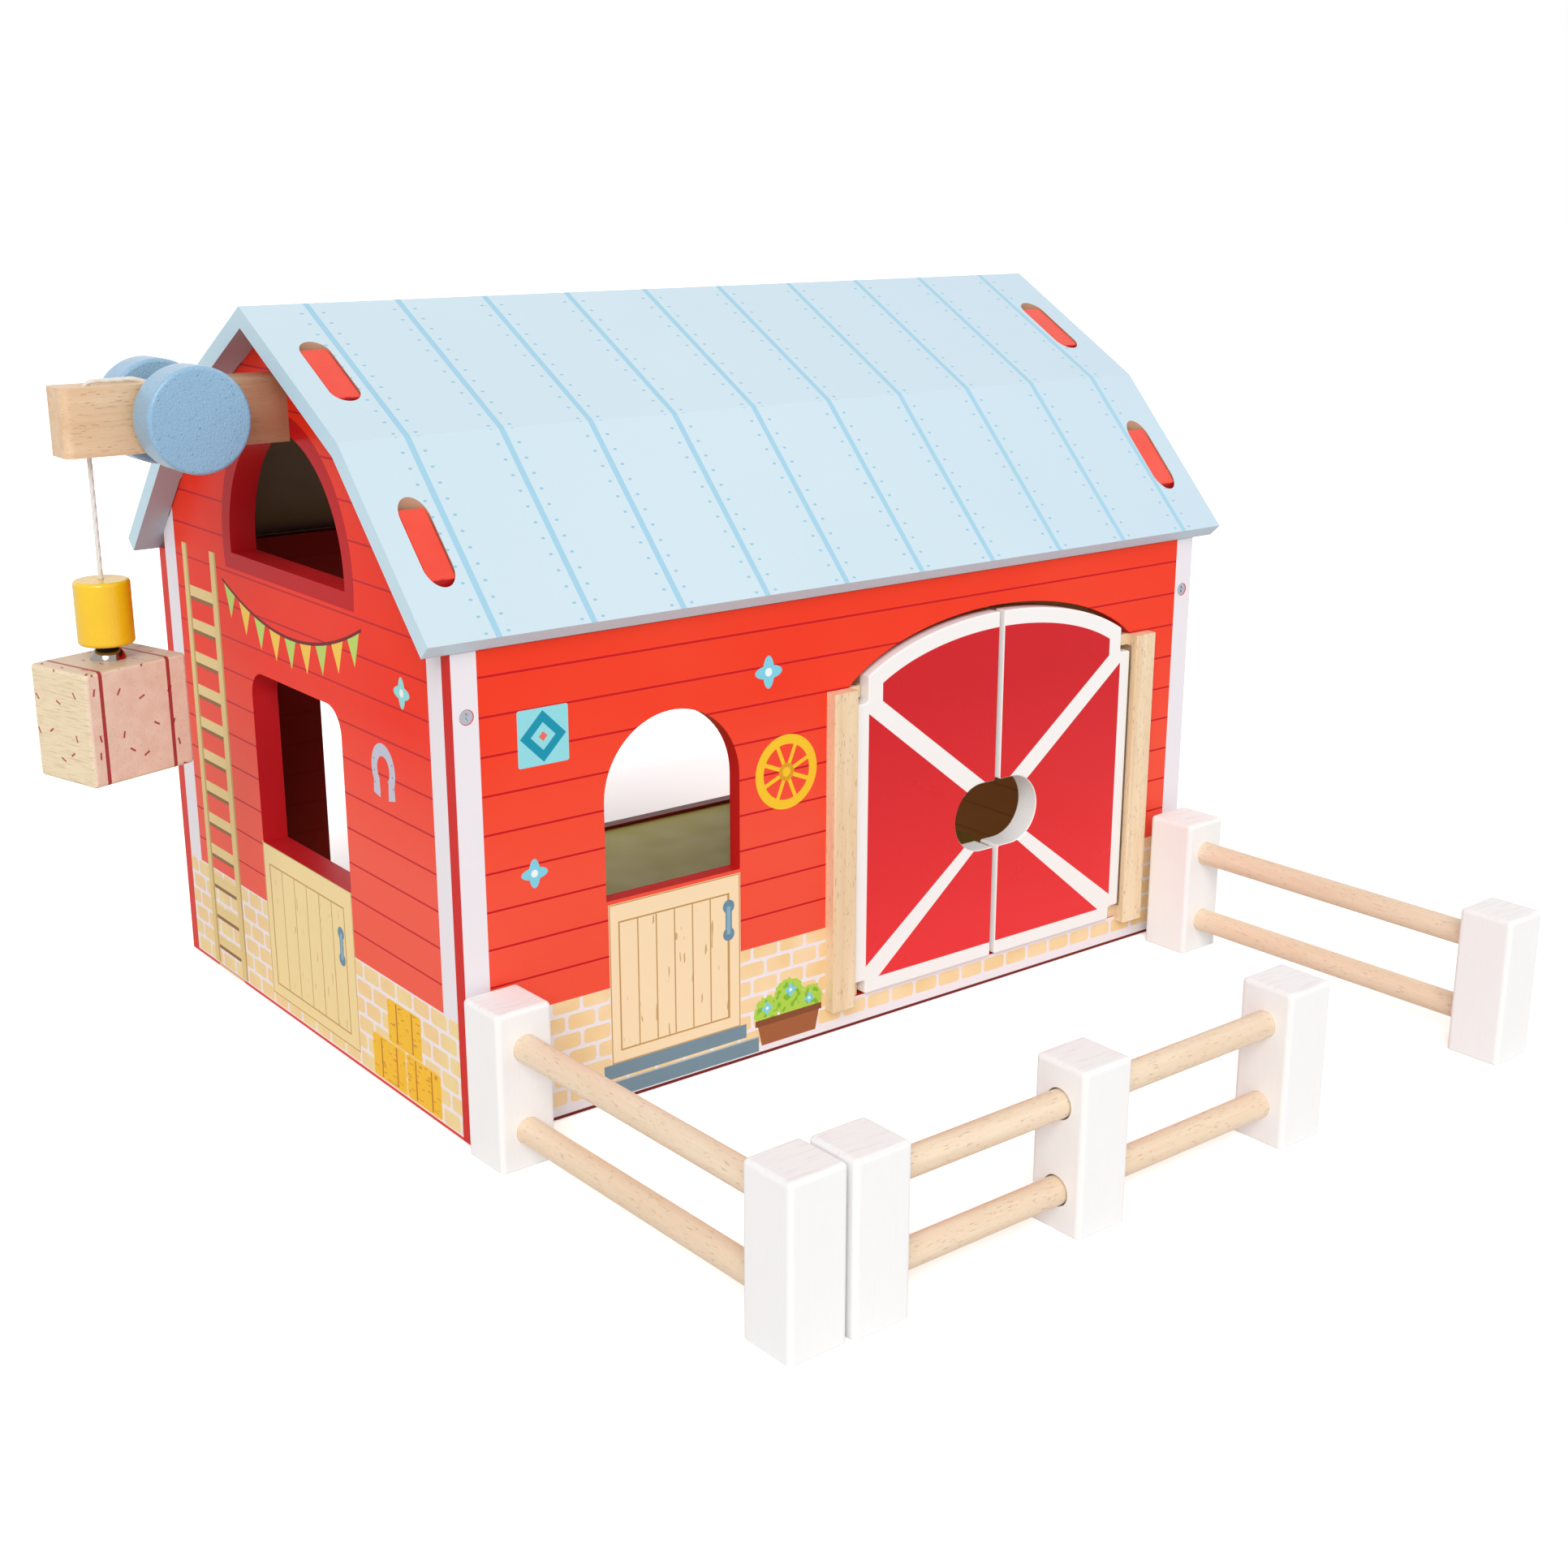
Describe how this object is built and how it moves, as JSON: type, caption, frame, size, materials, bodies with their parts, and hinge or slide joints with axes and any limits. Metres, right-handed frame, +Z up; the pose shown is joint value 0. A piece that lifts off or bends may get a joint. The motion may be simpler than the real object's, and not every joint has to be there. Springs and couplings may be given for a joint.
{
  "type": "toy barn",
  "caption": "Wooden toy barn with lift-off gambrel roof, double doors, working bale hoist with magnet and bale, and free-standing post and rail fence sections.",
  "frame": {"origin": "centre of the underside of the barn's body, on the surface that the toy stands on", "axes": "+X along the barn, away from the hoist gable; -Y out of the front wall with the double doors; +Z up"},
  "size_m": [0.5293, 0.4896, 0.32],
  "materials": {
    "wall_red": "satin painted board",
    "gable_red": "satin painted board",
    "floor_olive": "satin painted board",
    "roof_blue": "satin painted board",
    "jamb_wood": "clear lacquer",
    "leaf_white": "satin painted board",
    "leaf_brown": "satin painted board",
    "steel": "zinc plated",
    "beam_wood": "clear lacquer",
    "knob_blue": "satin paint",
    "axle_wood": "plain",
    "cord_white": "braided",
    "holder_yellow": "satin paint",
    "magnet_black": "sintered",
    "bale_wood": "clear lacquer with print",
    "post_white": "satin paint",
    "rail_wood": "clear lacquer"
  },
  "bodies": {
    "barn": {"base_floor": "floor_olive", "front_wall": "wall_red", "back_wall": "wall_red", "left_gable": "gable_red", "right_gable": "gable_red", "wall_screw_1": "steel", "wall_screw_2": "steel", "wall_screw_3": "steel", "wall_screw_4": "steel", "wall_screw_5": "steel", "wall_screw_6": "steel", "wall_screw_7": "steel", "wall_screw_8": "steel", "beam_screw": "steel", "door_jamb_left": "jamb_wood", "door_jamb_right": "jamb_wood", "door_pin_left_lower": "steel", "door_pin_left_upper": "steel", "door_pin_right_lower": "steel", "door_pin_right_upper": "steel", "hoist_beam": "beam_wood", "cord_run": "cord_white"},
    "roof": {"roof_front_upper": "roof_blue", "roof_front_lower": "roof_blue", "roof_back_upper": "roof_blue", "roof_back_lower": "roof_blue"},
    "door_left": {"door_left_front_board": "leaf_white", "door_left_back_board": "leaf_brown"},
    "door_right": {"door_right_front_board": "leaf_white", "door_right_back_board": "leaf_brown"},
    "windlass": {"knob_front": "knob_blue", "knob_back": "knob_blue", "hoist_axle": "axle_wood", "cord_winding": "cord_white"},
    "load": {"cord_drop": "cord_white", "cord_knot": "cord_white", "magnet_holder": "holder_yellow", "magnet": "magnet_black"},
    "bale": {"bale_block": "bale_wood", "bale_stud": "steel"},
    "fence_left": {"fence_left_post_near": "post_white", "fence_left_post_far": "post_white", "fence_left_rail_low": "rail_wood", "fence_left_rail_high": "rail_wood"},
    "fence_right": {"fence_right_post_near": "post_white", "fence_right_post_far": "post_white", "fence_right_rail_low": "rail_wood", "fence_right_rail_high": "rail_wood"},
    "fence_middle": {"fence_middle_post_near": "post_white", "fence_middle_post_far": "post_white", "fence_middle_rail_low": "rail_wood", "fence_middle_rail_high": "rail_wood"},
    "fence_sliding_post": {"fence_sliding_post": "post_white"}
  },
  "joints": [
    {"name": "roof_lift", "type": "slide", "parent": "barn", "child": "roof", "axis": [0, 0, 1], "range_m": [0, 0.1]},
    {"name": "door_left_hinge", "type": "hinge", "parent": "barn", "child": "door_left", "pos_m": [-0.0064, -0.13575, 0.08625], "axis": [0, 0, -1], "range_deg": [0, 74]},
    {"name": "door_right_hinge", "type": "hinge", "parent": "barn", "child": "door_right", "pos_m": [0.1574, -0.13575, 0.08625], "axis": [0, 0, 1], "range_deg": [0, 74]},
    {"name": "hoist_lift", "type": "slide", "parent": "barn", "child": "load", "axis": [0, 0, 1], "range_m": [-0.137, 0.04], "deforming": ["cord_drop"]},
    {"name": "windlass_turn", "type": "hinge", "parent": "barn", "child": "windlass", "pos_m": [-0.2499, -0.0043, 0.2798], "axis": [0, 1, 0], "range_deg": [-1310, 383]},
    {"name": "bale_release", "type": "slide", "parent": "load", "child": "bale", "axis": [-1, 0, 0], "range_m": [0, 0.06]},
    {"name": "fence_left_slide", "type": "slide", "parent": "barn", "child": "fence_left", "axis": [0, -1, 0], "range_m": [0, 0.15]},
    {"name": "fence_right_slide", "type": "slide", "parent": "barn", "child": "fence_right", "axis": [0, -1, 0], "range_m": [0, 0.15]},
    {"name": "fence_middle_slide", "type": "slide", "parent": "barn", "child": "fence_middle", "axis": [0, -1, 0], "range_m": [0, 0.15]},
    {"name": "sliding_post_travel", "type": "slide", "parent": "fence_middle", "child": "fence_sliding_post", "axis": [0.9999, 0.012, 0], "range_m": [-0.082, 0.0905]}
  ],
  "couplings": [
    {"joint": "windlass_turn", "follows": "hoist_lift", "rad_per_m": 166.67}
  ]
}
